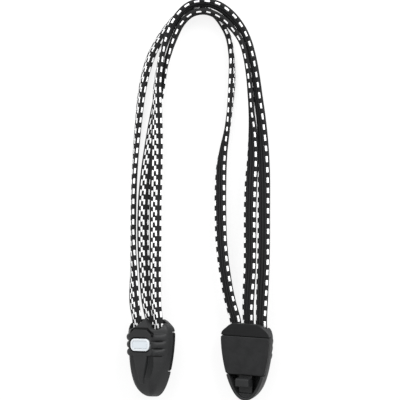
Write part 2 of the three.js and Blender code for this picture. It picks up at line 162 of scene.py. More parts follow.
# Spark-eroded grain of a mould, with a little unevenness over the whole piece
def mouldGrainGroup():
    tree, given, made = newGroup(
        "mouldGrain",
        {
            "Grain per metre": "Float",
            "Dark": "Color",
            "Light": "Color",
            "Smoothest": "Float",
            "Roughest": "Float",
        },
        {"Colour": "Color", "Roughness": "Float", "Height": "Float"},
    )
    place = addNode(tree, "ShaderNodeTexCoord").outputs["Object"]
    grain, speck = noise(tree, place, grainNoise, given["Grain per metre"])
    _, patch = noise(tree, place, cloudNoise, cloudNoise["scale"])
    speck = math2(tree, "MULTIPLY", speck, grainNoise["share"])
    patch = math2(tree, "MULTIPLY", patch, cloudNoise["share"])
    tone = math2(tree, "ADD", speck, patch)
    feed(tree, made["Colour"], blendColour(tree, tone, given["Dark"], given["Light"]))
    feed(tree, made["Roughness"], remap(tree, tone, 0.0, 1.0, given["Smoothest"], given["Roughest"]))
    feed(tree, made["Height"], grain)
    return tree


# Mask of the edges that hands and table rub bright
def edgeRubGroup():
    tree, given, made = newGroup(
        "edgeRub",
        {"Starts at": "Float", "Full at": "Float", "Amount": "Float"},
        {"Mask": "Float"},
    )
    sharp = addNode(tree, "ShaderNodeNewGeometry").outputs["Pointiness"]
    place = addNode(tree, "ShaderNodeTexCoord").outputs["Object"]
    _, uneven = noise(tree, place, rubNoise, rubNoise["scale"])
    edge = remap(tree, sharp, given["Starts at"], given["Full at"], 0.0, 1.0)
    worn = math2(tree, "MULTIPLY", math2(tree, "MULTIPLY", edge, uneven), given["Amount"])
    feed(tree, made["Mask"], worn)
    return tree


# Plain weave of fine yarns, laid out in millimetres along and across a strap
def yarnWeaveGroup():
    tree, given, made = newGroup(
        "yarnWeave",
        {"Stitch": "Float", "Yarn": "Float", "Dark": "Color", "Light": "Color"},
        {"Colour": "Color", "Height": "Float"},
    )
    place = addNode(tree, "ShaderNodeUVMap", uv_map="weave").outputs[0]
    split = addNode(tree, "ShaderNodeSeparateXYZ", {0: place}).outputs
    column = math2(tree, "DIVIDE", split[1], given["Yarn"])
    # Every other yarn starts half a stitch on
    offset = math2(tree, "MULTIPLY", math2(tree, "FLOOR", column), 0.5)
    row = math2(tree, "ADD", math2(tree, "DIVIDE", split[0], given["Stitch"]), offset)
    across, along = (
        math2(tree, "SINE", math2(tree, "MULTIPLY", math2(tree, "FRACT", way), math.pi))
        for way in (column, row)
    )
    yarn = math2(tree, "POWER", math2(tree, "MULTIPLY", across, along), yarnFullness)
    _, fibre = noise(tree, place, fibreNoise, fibreNoise["scale"])
    # Colour follows the yarn's height, so the gaps between yarns are painted darker: painted shade
    tone = math2(tree, "MULTIPLY", yarn, fibre)
    feed(tree, made["Colour"], blendColour(tree, tone, given["Dark"], given["Light"]))
    feed(tree, made["Height"], yarn)
    return tree


mouldGrain = mouldGrainGroup()
edgeRub = edgeRubGroup()
yarnWeave = yarnWeaveGroup()

clipPlasticLook = {
    "dark": (0.0115, 0.012, 0.0125, 1),
    "light": (0.018, 0.0185, 0.0192, 1),
    "rubbed": (0.05, 0.051, 0.053, 1),
    "grain": 5200.0,
    "roughness": (0.44, 0.58),
    "shine": 0.25,
    "grainDepth": 0.000012,
    "rub": 0.35,
}
platePlasticLook = {
    "dark": (0.006, 0.0063, 0.0067, 1),
    "light": (0.0178, 0.0182, 0.019, 1),
    "rubbed": (0.04, 0.041, 0.043, 1),
    "grain": 1800.0,
    "roughness": (0.5, 0.66),
    "shine": 0.22,
    "grainDepth": 0.00002,
    "rub": 0.3,
}
# Shell plastic painted darker for the back above the plate, as painted shade of its recess
moonShadePlasticLook = {
    "dark": (0.0055, 0.0057, 0.006, 1),
    "light": (0.009, 0.0093, 0.0097, 1),
    "rubbed": (0.03, 0.0305, 0.031, 1),
    "grain": 4400.0,
    "roughness": (0.5, 0.64),
    "shine": 0.17,
    "grainDepth": 0.000016,
    "rub": 0.25,
}
# Darkest plastic, painted shade: laid on the grooves round the reflector and the plateau, below the ribs and on
# the plate's sides
paintedShadePlasticLook = {
    "dark": (0.004, 0.0041, 0.0043, 1),
    "light": (0.007, 0.0071, 0.0074, 1),
    "rubbed": (0.02, 0.0205, 0.021, 1),
    "grain": 2400.0,
    "roughness": (0.36, 0.46),
    "shine": 0.12,
    "grainDepth": 0.000006,
    "rub": 0.15,
}
rubbing = {"from": 0.53, "full": 0.62, "polish": 0.2}  # sharpness where it starts and is full, roughness lost


def placeGrain(tree, look):
    low, high = look["roughness"]
    return placeGroup(tree, mouldGrain, {
        "Grain per metre": look["grain"],
        "Dark": look["dark"],
        "Light": look["light"],
        "Smoothest": low,
        "Roughest": high,
    })


def mouldedPlastic(name, look):
    material, tree = newMaterial(name)
    grain = placeGrain(tree, look)
    sharp = {"Starts at": rubbing["from"], "Full at": rubbing["full"]}
    rub = placeGroup(tree, edgeRub, {**sharp, "Amount": look["rub"]})["Mask"]
    polish = math2(tree, "MULTIPLY", rub, rubbing["polish"])
    return setShader(material, {
        "Base Color": blendColour(tree, rub, grain["Colour"], look["rubbed"]),
        "Roughness": math2(tree, "SUBTRACT", grain["Roughness"], polish),
        "Normal": bumpNormal(tree, grain["Height"], look["grainDepth"]),
        "Specular IOR Level": look["shine"],
    })


reflectorLook = {
    "dark": (0.58, 0.615, 0.645, 1),
    "light": (0.64, 0.67, 0.695, 1),
    "roughness": (0.16, 0.26),
    "grain": 900.0,
    "grainDepth": 0.000004,
    "coat": 0.3,
    "metal": 0.0,
}
crimpLook = {
    "dark": (0.33, 0.34, 0.36, 1),
    "light": (0.52, 0.53, 0.55, 1),
    "roughness": (0.28, 0.46),
    "grain": 2600.0,
    "grainDepth": 0.000005,
    "coat": 0.0,
    "metal": 1.0,
}


def cleanGrain(name, look):
    material, tree = newMaterial(name)
    grain = placeGrain(tree, look)
    return setShader(material, {
        "Base Color": grain["Colour"],
        "Roughness": grain["Roughness"],
        "Normal": bumpNormal(tree, grain["Height"], look["grainDepth"]),
        "Coat Weight": look["coat"],
        "Metallic": look["metal"],
    })


filmLook = {
    "face": (0.52, 0.565, 0.605, 1),
    "ridge": (0.6, 0.65, 0.69, 1),
    "prism": 0.8,  # mm between the prisms
    "ridgeFrom": (0.15, 0.5),
    "relief": 0.00003,
    "roughness": (0.16, 0.3),
    "coat": 0.5,
}


def prismFilm():
    material, tree = newMaterial("prismFilm")
    place = addNode(tree, "ShaderNodeUVMap", uv_map="clipMm").outputs[0]
    cells = addNode(
        tree,
        "ShaderNodeTexVoronoi",
        distance="CHEBYCHEV",
        voronoi_dimensions="2D",
        values={"Vector": place, "Scale": 1 / filmLook["prism"], "Randomness": 0.0},
    ).outputs["Distance"]
    ridge = remap(tree, cells, *filmLook["ridgeFrom"], 0.0, 1.0)
    return setShader(material, {
        "Base Color": blendColour(tree, ridge, filmLook["face"], filmLook["ridge"]),
        "Roughness": remap(tree, ridge, 0.0, 1.0, *filmLook["roughness"]),
        "Normal": bumpNormal(tree, cells, filmLook["relief"]),
        "Coat Weight": filmLook["coat"],
    })


blackYarnLook = {
    "dark": (0.004, 0.004, 0.0043, 1),
    "light": (0.03, 0.03, 0.0308, 1),
    "stitch": 0.9,
    "yarn": 0.44,
    "relief": 0.00006,
    "roughness": 0.8,
    "shine": 0.08,
    "sheen": 0.02,
}
valleyShadeYarnLook = {  # sunk between the ridges of the plain face, painted darker as their shade
    **blackYarnLook,
    "dark": (0.002, 0.002, 0.0022, 1),
    "light": (0.012, 0.012, 0.0124, 1),
    "roughness": 0.85,
    "shine": 0.04,
    "sheen": 0.01,
}
whiteYarnLook = {
    **blackYarnLook,
    "dark": (0.78, 0.785, 0.79, 1),
    "light": (0.95, 0.95, 0.95, 1),
    "stitch": 1.66,
    "roughness": 0.5,
    "shine": 0.4,
    "sheen": 0.06,
}


def wovenYarn(name, look):
    material, tree = newMaterial(name)
    weave = placeGroup(tree, yarnWeave, {
        "Stitch": look["stitch"],
        "Yarn": look["yarn"],
        "Dark": look["dark"],
        "Light": look["light"],
    })
    return setShader(material, {
        "Base Color": weave["Colour"],
        "Normal": bumpNormal(tree, weave["Height"], look["relief"]),
        "Roughness": look["roughness"],
        "Specular IOR Level": look["shine"],
        "Sheen Weight": look["sheen"],
    })


clipPlastic = mouldedPlastic("clipPlastic", clipPlasticLook)
platePlastic = mouldedPlastic("platePlastic", platePlasticLook)
moonShadePlastic = mouldedPlastic("moonShadePlastic", moonShadePlasticLook)
paintedShadePlastic = mouldedPlastic("paintedShadePlastic", paintedShadePlasticLook)
reflectorWhite = cleanGrain("reflectorMoulding", reflectorLook)
reflectorFilm = prismFilm()
crimpMetal = cleanGrain("crimpSteel", crimpLook)
blackYarn = wovenYarn("blackYarn", blackYarnLook)
valleyShadeYarn = wovenYarn("valleyShadeYarn", valleyShadeYarnLook)
whiteYarn = wovenYarn("whiteYarn", whiteYarnLook)
print("materials made")

# Clip, in mm: across from its middle, along from the middle of the reflector, depth from its back plane
clipOutline = {
    "halfWidth": 21.6,
    "tip": -43.5,
    "tipHalf": 0.01,
    "top": 21,
    "widest": 9,
    "topFlatHalf": 10.4,
    "tipRoundness": 14.3,
    "flankPull": 18,
    "shoulderPull": 6.5,
    "shoulderRoundness": 7.6,
    "shoulderLean": 4,
    "leanFrom": 12.5,
}
backPlate = {"top": 10.4, "bottom": -21.7, "thick": 2.7, "moonRecess": 0.5, "notch": 1.3}
strapMouth = {
    "pitch": 11.7,
    "outerDepth": 9.5,
    "middleDepth": 8,
    "wallBack": 8.7,
    "lipPeak": 22.4,
    "lipNotch": 12.6,
    "lipNotchAt": 13.6,
    "lipBend": (7, 13.7),
    "lipCorner": 4,
    "lipUnder": 10.7,
    "halfWidth": 17.5,
    "flareStart": 11.5,
    "lean": 1.5,
    "run": 1.5,
    "points": 4,  # of a strap's route inside the clip
    "slotGap": 0.3,
    "past": 5,  # how far cuts run on outside
}


def clipPlace(side):
    mount = next(m for m in record["mounts"] if m["name"] == side + "_clip_back")
    hinge = next(j for j in frame["joints"] if j["name"] == side + "_latch_flex")
    depth = -Vector(mount["axis"]).normalized()
    along = depth.cross(Vector(hinge["axis"])).normalized()
    plateMiddle = (backPlate["top"] + backPlate["bottom"]) / 2
    place = Matrix((along.cross(depth), along, depth)).transposed().to_4x4()
    place.translation = Vector(mount["pos_m"]) - along * plateMiddle * mm
    return place @ Matrix.Scale(mm, 4)


clipPlaces = {side: clipPlace(side) for side in ("left", "right")}

# Straps in mm, oval: white yarn shows in dashes on both edges and in three columns of one face
strapWeave = {
    "width": 10,
    "fullerFrom": (24, 45),  # from an end, where a strap grows from its width in the clip
    "thick": 4.8,
    "edgeDash": 1.8,  # white round an edge
    "ridge": 0.36,
    "plainRidges": 3,
    "dashPeriod": 8.5,
    "dashSteps": 12,  # rings to each dash period
    "dashRise": 0.08,
    "crimpLength": 6,
    "tail": 0.4,
    "wallGap": 0.3,
    "samples": 6000,
    "roundSamples": 1601,
    "stripSteps": {"edge": 5, "column": 4, "margin": 2, "band": 3, "ridge": 6},
}
# Columns of the patterned face, across from its middle
dashColumns = {"lowerColumn": (-3.05, -1.5), "middleColumn": (-1.3, 0.4), "upperColumn": (0.4, 1.85)}
# Shares of a strap's length at which its white slides and its dashes shift
lieShares = (0.3, 0.5, 0.62, 0.75, 0.92)
# Start and length of the white in each dash period
dashes = {
    "lowerColumn": (0.545, 0.53),
    "middleColumn": (0.0, 0.54),
    "upperColumn": (0.67, 0.52),
    "lowerEdge": (0.2, 0.5),
    "upperEdge": (0.73, 0.5),
}
# Routes from the left clip over the arch to the right clip: x, y, z in metres and roll in degrees.
# At a roll of 0 a strap stands on edge with its patterned face outwards; at 90 that face is up.
straps = {
    "strapOuter": {
        "node": "strap_outer",
        "slide": {"upperEdge": (-0.8, 2.2, 2.7, 2.4, 2.2), "lowerEdge": (1.3, 0, 1, 1, 1)},
        "slot": 1,
        "length": 0.606,
        "fuller": 1.06,
        "dashShift": (0.28, 0.41, 0.36, 0, 0),
        "route": [
            (-0.0366, 0.0496, 0.0275, 55), (-0.0372, 0.0746, 0.0256, 62), (-0.037, 0.0996, 0.0242, 68),
            (-0.037, 0.1266, 0.0232, 72), (-0.0364, 0.1526, 0.0226, 76), (-0.0358, 0.1786, 0.0221, 68),
            (-0.0355, 0.2036, 0.0216, 46), (-0.0354, 0.2266, 0.0208, 30), (-0.0327, 0.2476, 0.0195, 12),
            (-0.0279, 0.2656, 0.018, -16), (-0.0213, 0.2811, 0.0165, -26), (-0.0106, 0.293, 0.0158, -30),
            (0.0016, 0.2967, 0.0155, -34), (0.0138, 0.2943, 0.0155, -42), (0.0241, 0.2873, 0.0155, -45),
            (0.0327, 0.2771, 0.0155, -44), (0.0385, 0.2656, 0.0155, -44), (0.0424, 0.2526, 0.0156, -43),
            (0.0456, 0.2366, 0.0158, -40), (0.0481, 0.2186, 0.0161, -42), (0.0508, 0.1986, 0.0165, -44),
            (0.0524, 0.1746, 0.017, -58), (0.0529, 0.1496, 0.0178, -74), (0.0528, 0.1246, 0.019, -81),
            (0.0527, 0.0996, 0.0206, -83), (0.0522, 0.0766, 0.0222, -82), (0.0515, 0.0576, 0.0232, -74),
            (0.0511, 0.0446, 0.0235, -69),
        ],
    },
    "strapInner": {
        "node": "strap_inner",
        "slide": {"upperEdge": (-0.8, 2.5, 1.2, 2.4, 2.4), "lowerEdge": (1.3, 0, 1.6, 1.2, 1.9)},
        "slot": 0,
        "length": 0.587,
        "fuller": 1.06,
        "dashShift": (0.2, 0.18, 0.33, 0.74, 0.74),
        "route": [
            (-0.0444, 0.0496, 0.0178, 55), (-0.0461, 0.0726, 0.0162, 62), (-0.0473, 0.0956, 0.0151, 68),
            (-0.0473, 0.1196, 0.0143, 70), (-0.0461, 0.1416, 0.0136, 68), (-0.0435, 0.1646, 0.0127, 62),
            (-0.0403, 0.1866, 0.0116, 54), (-0.0366, 0.2076, 0.0104, 50), (-0.033, 0.2256, 0.0098, 38),
            (-0.0295, 0.2426, 0.01, 14), (-0.0259, 0.2546, 0.011, -4), (-0.0217, 0.2666, 0.0124, -15),
            (-0.0159, 0.2786, 0.014, -17), (-0.0076, 0.2868, 0.0153, -17), (0.0024, 0.2893, 0.0158, -17),
            (0.0115, 0.2871, 0.0159, -18), (0.0209, 0.281, 0.0159, -18), (0.0289, 0.2726, 0.0156, -11),
            (0.0348, 0.2629, 0.015, -6), (0.0381, 0.2513, 0.0145, -4), (0.0403, 0.2371, 0.0142, -3),
            (0.0417, 0.2221, 0.014, -8), (0.0427, 0.2071, 0.014, -12), (0.0438, 0.1886, 0.0143, -36),
            (0.0437, 0.1676, 0.015, -58), (0.0423, 0.1476, 0.0158, -76), (0.0415, 0.1246, 0.017, -82),
            (0.0414, 0.0996, 0.0186, -83), (0.0411, 0.0766, 0.02, -82), (0.0402, 0.0576, 0.0209, -74),
            (0.0397, 0.0446, 0.0209, -69),
        ],
    },
    "strapCrossing": {
        "node": "strap_crossing",
        "slide": {"upperEdge": (-0.2, 0, 0, 2.4, 2.2), "lowerEdge": (0.8, 0, 1, 1.3, 2.1)},
        "slot": -1,
        "length": 0.594,
        "fuller": 1,
        "dashShift": (0.26, 0, 0.15, 0.64, 0.64),
        "route": [
            (-0.0547, 0.0496, 0.0137, 52), (-0.0551, 0.0746, 0.0121, 26), (-0.0555, 0.0996, 0.011, 6),
            (-0.0553, 0.1261, 0.01, 0), (-0.0546, 0.151, 0.009, 2), (-0.0532, 0.1742, 0.0082, 14),
            (-0.0513, 0.1975, 0.0074, 24), (-0.0491, 0.2174, 0.0067, 30), (-0.0458, 0.2356, 0.0061, 34),
            (-0.0414, 0.2506, 0.0057, 36), (-0.0358, 0.2622, 0.0054, 34), (-0.0292, 0.273, 0.00525, 30),
            (-0.0213, 0.2834, 0.0052, 22), (-0.0117, 0.2904, 0.0051, 10), (-0.0026, 0.2927, 0.0051, 0),
            (0.0057, 0.291, 0.0051, 0), (0.0132, 0.2855, 0.0051, 0), (0.019, 0.2776, 0.0051, 0),
            (0.0234, 0.2685, 0.0051, 0), (0.0256, 0.2572, 0.0051, 5), (0.0265, 0.244, 0.0051, 16),
            (0.0264, 0.229, 0.0052, 24), (0.025, 0.2108, 0.0055, 12), (0.0227, 0.1925, 0.0058, -8),
            (0.0198, 0.1759, 0.0062, -32), (0.0177, 0.1593, 0.0068, -58), (0.0169, 0.1394, 0.0078, -74),
            (0.0169, 0.1196, 0.009, -80), (0.0174, 0.1006, 0.0104, -80), (0.019, 0.0826, 0.012, -73),
            (0.0207, 0.0706, 0.0131, -71), (0.0228, 0.058, 0.0139, -69), (0.0254, 0.0466, 0.0142, -68),
        ],
    },
}


def smoothStep(value, low, high):
    share = np.clip((value - low) / (high - low), 0, 1)
    return share * share * (3 - 2 * share)


def runningTotal(steps):
    return np.concatenate(([0], np.cumsum(steps)))


def unit(vectors):
    return vectors / np.linalg.norm(vectors, axis=-1, keepdims=True)


def newMesh(name, points, faces, mapName, places):
    mesh = bpy.data.meshes.new(name)
    mesh.from_pydata(points.tolist(), [], faces)
    mesh.polygons.foreach_set("use_smooth", np.ones(len(faces), bool))
    layer = mesh.uv_layers.new(name=mapName)
    layer.uv.foreach_set("vector", places.astype(np.float32).ravel())
    return mesh


def insideClip(side, slot):
    upper = 1 if side == "left" else -1
    x = slot * upper * strapMouth["pitch"]
    lean = 0 if slot == 0 else upper * strapMouth["lean"]
    depth = strapMouth["middleDepth"] if slot == 0 else strapMouth["outerDepth"]
    start = strapMouth["wallBack"] - sum(strapWeave[k] for k in ("wallGap", "crimpLength", "tail"))
    end = clipOutline["top"] + strapMouth["run"]
    points = []
    for y in np.linspace(start, end, strapMouth["points"]):
        z = depth + lean * smoothStep(y, strapMouth["flareStart"], end)
        points.append(clipPlaces[side] @ Vector((x, y, z)))
    return points


def throughPoints(points, count):
    knots = np.array([2 * points[0] - points[1], *points, 2 * points[-1] - points[-2]])
    t = np.linspace(0, len(points) - 1, count)
    k = np.minimum(t.astype(int), len(points) - 2)
    f = (t - k)[:, None]
    a, b, c, d = (knots[k + step] for step in range(4))
    return b + 0.5 * f * (c - a + f * (2 * a - 5 * b + 4 * c - d + f * (3 * (b - c) + d - a)))


# Angle at which a clip holds its straps
def clipRoll(side):
    across, _, up = np.abs(clipPlaces[side].to_3x3().normalized().col[2])
    return math.degrees(math.atan2(up, across))


def strapLine(strap):
    left = [np.array((*p, clipRoll("left"))) for p in insideClip("left", strap["slot"])]
    right = [np.array((*p, -clipRoll("right"))) for p in insideClip("right", strap["slot"])]
    return throughPoints([*left, *map(np.array, strap["route"]), *right[::-1]], strapWeave["samples"])


# Places round the oval section, from the middle of the patterned face over the upper edge, and its girth
def sectionRound():
    angle = np.linspace(-math.pi, 3 * math.pi, strapWeave["roundSamples"])
    out = strapWeave["thick"] / 2 * np.cos(angle)
    at = strapWeave["width"] / 2 * np.sin(angle)
    place = runningTotal(np.hypot(np.diff(out), np.diff(at)))
    girth = place[-1] / 2
    return place - girth / 2, out, at, girth


# Strips round the section and where they start and end at each ring.
# The white of both edges slides towards the plain face.
def strapStrips(slide, girth):
    dash = strapWeave["edgeDash"] / 2
    upper, lower = girth / 4 + slide["upperEdge"], -girth / 4 - slide["lowerEdge"]
    count = strapWeave["stripSteps"]
    strips = [("lowerEdge", lower - dash, lower + dash, count["edge"], 0)]
    last = lower + dash
    for name, (start, end) in dashColumns.items():
        strips.append(("plain", last, start, count["margin"], 0))
        strips.append((name, start, end, count["column"], 1))
        last = end
    strips.append(("plain", last, upper - dash, count["band"], 1))
    strips.append(("upperEdge", upper - dash, upper + dash, count["edge"], 0))
    ridges = strapWeave["plainRidges"]
    run = (girth + lower - dash - upper - dash) / ridges
    for k in range(ridges):
        start = upper + dash + k * run
        strips.append(("ridge", start, start + run, count["ridge"], 1))
    return strips


# Points of every ring as steps out of the patterned face and along the width, with what each step shows
def strapSection(slide):
    place, out, at, girth = sectionRound()
    rings, shows = [], []
    for what, start, end, steps, ridge in strapStrips(slide, girth):
        for share in np.arange(steps) / steps:
            here = np.broadcast_to(start + share * (end - start), slide["upperEdge"].shape)
            valley = ridge * (1 - math.sin(share * math.pi)) * strapWeave["ridge"]
            flatter = 1 - valley / (strapWeave["thick"] / 2)
            point = (np.interp(here, place, out) * flatter, np.interp(here, place, at))
            rings.append(np.stack(point, axis=1))
            # Faces at the foot of each ridge take the darker valley yarn, painted shade
            beside = what == "ridge" and min(share, 1 - share - 1 / steps) < 1 / (steps + 1)
            shows.append("valley" if beside else what)
    return np.stack(rings, axis=1), shows


def isWhite(place, shows):
    if shows not in dashes:
        return np.zeros(len(place), bool)
    start, share = dashes[shows]
    return (place - start) % 1 < share


def strapMesh(name, strap):
    line = strapLine(strap)
    distance = runningTotal(np.linalg.norm(np.diff(line[:, :3], axis=0), axis=1))
    spacing = strapWeave["dashPeriod"] / strapWeave["dashSteps"] * mm
    count = int(distance[-1] / spacing)
    stations = np.arange(count + 1) * spacing
    rows = np.stack([np.interp(stations, distance, column) for column in line.T], axis=1)
    middle = rows[:, :3]
    tangent = unit(np.gradient(middle, axis=0))
    outwards = unit(np.cross((0, 0, 1), tangent))
    upwards = np.cross(tangent, outwards)
    roll = np.radians(rows[:, 3])[:, None]
    face = outwards * np.cos(roll) + upwards * np.sin(roll)
    across = upwards * np.cos(roll) - outwards * np.sin(roll)

    share = stations / stations[-1]
    slide = {edge: np.interp(share, lieShares, values) for edge, values in strap["slide"].items()}
    section, shows = strapSection(slide)
    inside = np.minimum(stations, stations[-1] - stations) / mm
    grown = smoothStep(inside, *strapWeave["fullerFrom"])
    section[:, :, 1] *= 1 + (strap["fuller"] - 1) * grown[:, None]
    around = len(shows)
    dashPlace = (np.arange(count) + 0.5) / strapWeave["dashSteps"]
    dashPlace += np.interp(share[:-1], lieShares, strap["dashShift"])
    # One column for each strip of faces
    white = np.stack([isWhite(dashPlace, what) for what in shows], axis=1)
    padded = np.pad(white, ((1, 1), (0, 0)))
    raised = padded[:-1] & padded[1:]
    raised = raised & np.roll(raised, 1, axis=1)  # only points with white yarn on all sides
    normal = np.roll(section, -1, axis=1) - np.roll(section, 1, axis=1)
    normal = unit(np.stack((normal[:, :, 1], -normal[:, :, 0]), axis=2))
    push = section + raised[:, :, None] * normal * strapWeave["dashRise"]
    offset = push[:, :, :1] * face[:, None] + push[:, :, 1:] * across[:, None]
    vertices = middle[:, None] + offset * mm

    index = np.arange((count + 1) * around).reshape(count + 1, around)
    turned = np.roll(index, -1, axis=1)
    quads = np.stack((index[:-1], turned[:-1], turned[1:], index[1:]), axis=2).reshape(-1, 4)
    faces = [*quads.tolist(), index[0, ::-1].tolist(), index[-1].tolist()]
    girth = np.linalg.norm(np.roll(section[0], -1, axis=0) - section[0], axis=1)
    u, v = np.broadcast_arrays((stations / mm)[:, None], runningTotal(girth))
    weave = np.stack((u, v), axis=2)
    corners = np.stack((weave[:-1, :-1], weave[:-1, 1:], weave[1:, 1:], weave[1:, :-1]), axis=2)
    caps = np.zeros((2 * around, 2))
    places = np.concatenate((corners.reshape(-1, 2), caps))
    mesh = newMesh(name, vertices.reshape(-1, 3), faces, "weave", places)
    for look in (blackYarn, whiteYarn, valleyShadeYarn):
        mesh.materials.append(look)
    slots = white + 2 * np.array([what == "valley" for what in shows])
    slots = np.concatenate((slots.reshape(-1), (0, 0))).astype(np.int32)
    mesh.polygons.foreach_set("material_index", slots)
    return mesh, middle, distance[-1]


def addPiece(name, mesh):
    piece = bpy.data.objects.new(name, mesh)
    scene.collection.objects.link(piece)
    return piece


def makeStraps():
    for name, strap in straps.items():
        mesh, path, length = strapMesh(name, strap)
        piece = addPiece(name, mesh)
        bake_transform(piece)
        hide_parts(strap["node"])
        print(name, "laid, length", round(length, 4), "m,", len(mesh.polygons), "faces")


makeStraps()

# Fields of distance in mm, below 0 inside the piece, are rounded into each other and then meshed
clipDome = {
    "crown": 19.2,
    "wall": 10,
    "wallShare": 0.6,  # of the height, where the front is low
    "tipRim": 5,
    "crownStart": -8,
    "ridge": 12.8,
    "lipSlope": 0.65,
    "crownFlat": 0.5,
    "peak": 0.5,  # share of a flank where it is fullest
    "bulge": 0.12,
    "tipBulge": 0.5,
    "fallPower": (3, 0.455),
    "beyond": 1.4,  # how far the flanks run on outside the walls
}
clipFront = {
    "rise": 1,
    "plateauHalf": 11.9,
    "plateauChamfer": (5, 4.1),
    "plateauFoot": 1,
    "wedgeHalf": 8,
    "wedgeEnd": -32,
    "wedgeEndHalf": 1.6,
    "wedgeFlare": 0.6,
    "scoop": (6, 14.5, 3.6),
    "scoopOffset": 2.6,
    "channel": (0.7, 0.6, 1.2),  # round the plateau's upper corners: distance, half width, depth
    "channelFrom": 6.5,
}
gripRibs = {
    "count": 3,
    "pitch": 6.2,
    "swell": 2.9,
    "sink": 0.3,
    "halfLength": 2.95,
    "roundness": 0.55,
    "peak": 0.38,
    "shade": 0.45,
}
reflectorShape = {
    "width": 20.5,
    "height": 10.2,
    "corner": 4.2,
    "depth": 2.2,
    "proud": 0.5,
    "border": 1.9,
    "bevel": 0.6,
    "panelDepth": 0.9,
    "seatGap": 1,
    "gap": 0.3,
    "ease": 0.2,
    "gridDepth": 3,  # below the top, where the grids of the moulding and of its film start
    "filmGridDepth": 1,
}
tabPocket = {
    "wall": 2.4,
    "taper": 0.17,
    "top": -5,
    "low": -40.9,
    "depth": 11.6,
    "root": -37.4,
    "gap": 0.3,
}
strapChamber = {"halfWidth": 17.6, "end": -1, "depth": 12.75}
latchShape = {
    "halfWidth": 5.8,
    "depth": 2,
    "thick": 2.3,
    "end": -22.1,
    "noseEnd": -23.9,
    "nose": 6.9,
    "noseTop": -6.5,
    "chamfer": 0.9,
    "pivot": -35.4,
    "groove": 0.7,
}
clipMesh = {
    "step": 0.36,
    "latchStep": 0.25,
    "fineStep": 0.16,
    "edge": 0.5,
    "soft": 1.1,
    "crisp": 0.3,
    "wedgeEase": 0.94,  # slope of the falling front
    "rimTilt": 0.6,
    "beside": 1,  # of the grid past the outline
    "tiny": 1e-6,  # stands in for 0 in a root and a division
    "bendSteps": 9,
    "outlineSteps": (40, 30),
    "settle": (3, 0.6),  # rounds and share of the way that points move onto the surface
}


def smoothMax(first, second, blend):
    share = np.clip(0.5 + 0.5 * (first - second) / blend, 0, 1)
    return second + (first - second) * share + blend * share * (1 - share)


def smoothMin(first, second, blend):
    return -smoothMax(-first, -second, blend)


def largest(*fields):
    return reduce(np.maximum, fields)


def rounded(blend, *fields):
    return reduce(lambda first, second: smoothMax(first, second, blend), fields)


def polygonDistance(points, x, y):
    nearest = np.full(np.broadcast(x, y).shape, np.inf)
    inside = np.zeros(nearest.shape, bool)
    for (ax, ay), (bx, by) in zip(points, points[1:] + points[:1]):
        ex, ey = bx - ax, by - ay
        share = np.clip(((x - ax) * ex + (y - ay) * ey) / (ex * ex + ey * ey), 0, 1)
        nearest = np.minimum(nearest, np.hypot(x - ax - share * ex, y - ay - share * ey))
        if ey:
            inside ^= ((ay > y) != (by > y)) & (x < ax + (y - ay) * ex / ey)
    return np.where(inside, -nearest, nearest)


# Distance in the plane of the back, for a grid of three axes
def planeDistance(points, u, v):
    return polygonDistance(points, u[:, :, 0], v[:, :, 0])[:, :, None]


def bezier(points, count):
    t = np.linspace(0, 1, count)[:, None]
    last = len(points) - 1
    curve = sum(
        math.comb(last, k) * t**k * (1 - t) ** (last - k) * np.array(point, float)
        for k, point in enumerate(points)
    )
    return [tuple(p) for p in curve]


def mirrored(rightSide):
    return rightSide + [(-x, y) for x, y in reversed(rightSide)]


# Right half of the egg outline, from the tip up to the strap mouth
def rightOutline():
    o = clipOutline
    lower = bezier([
        (o["tipHalf"], o["tip"]),
        (o["tipRoundness"], o["tip"]),
        (o["halfWidth"], o["widest"] - o["flankPull"]),
        (o["halfWidth"], o["widest"]),
    ], clipMesh["outlineSteps"][0])
    upper = bezier([
        (o["halfWidth"], o["widest"]),
        (o["halfWidth"], o["widest"] + o["shoulderPull"]),
        (o["topFlatHalf"] + o["shoulderRoundness"], o["top"]),
        (o["topFlatHalf"], o["top"]),
    ], clipMesh["outlineSteps"][1])
    return lower + upper[1:]


def halfWidthAt(v):
    points = np.array(rightOutline())
    return np.interp(v, points[:, 1], points[:, 0])


def frontHeight(v):
    d = clipDome
    inner, outer = d["fallPower"]
    fall = np.clip((d["crownStart"] - v) / (d["crownStart"] - clipOutline["tip"]), 0, 1)
    tipSide = d["tipRim"] + (d["crown"] - d["tipRim"]) * (1 - fall**inner) ** outer
    return tipSide - np.maximum(v - d["ridge"], 0) * d["lipSlope"]


def ribSwell(v):
    total = np.zeros_like(v)
    for k in range(gripRibs["count"]):
        middle = (k - (gripRibs["count"] - 1) / 2) * gripRibs["pitch"]
        share = np.clip(1 - ((v - middle) / gripRibs["halfLength"]) ** 2, 0, 1)
        total += gripRibs["swell"] * share ** gripRibs["roundness"]
    return total


# Height of the front: a flat crown, and flanks that fall to the top of the upright walls.
# Ribs are the same form, swollen towards the crown and sunk a little where they end.
def domeTop(u, v):
    ribbed = flankTop(u, v, ribSwell(v), gripRibs["peak"]) - gripRibs["sink"]
    return np.maximum(flankTop(u, v, 0, clipDome["peak"]), ribbed)


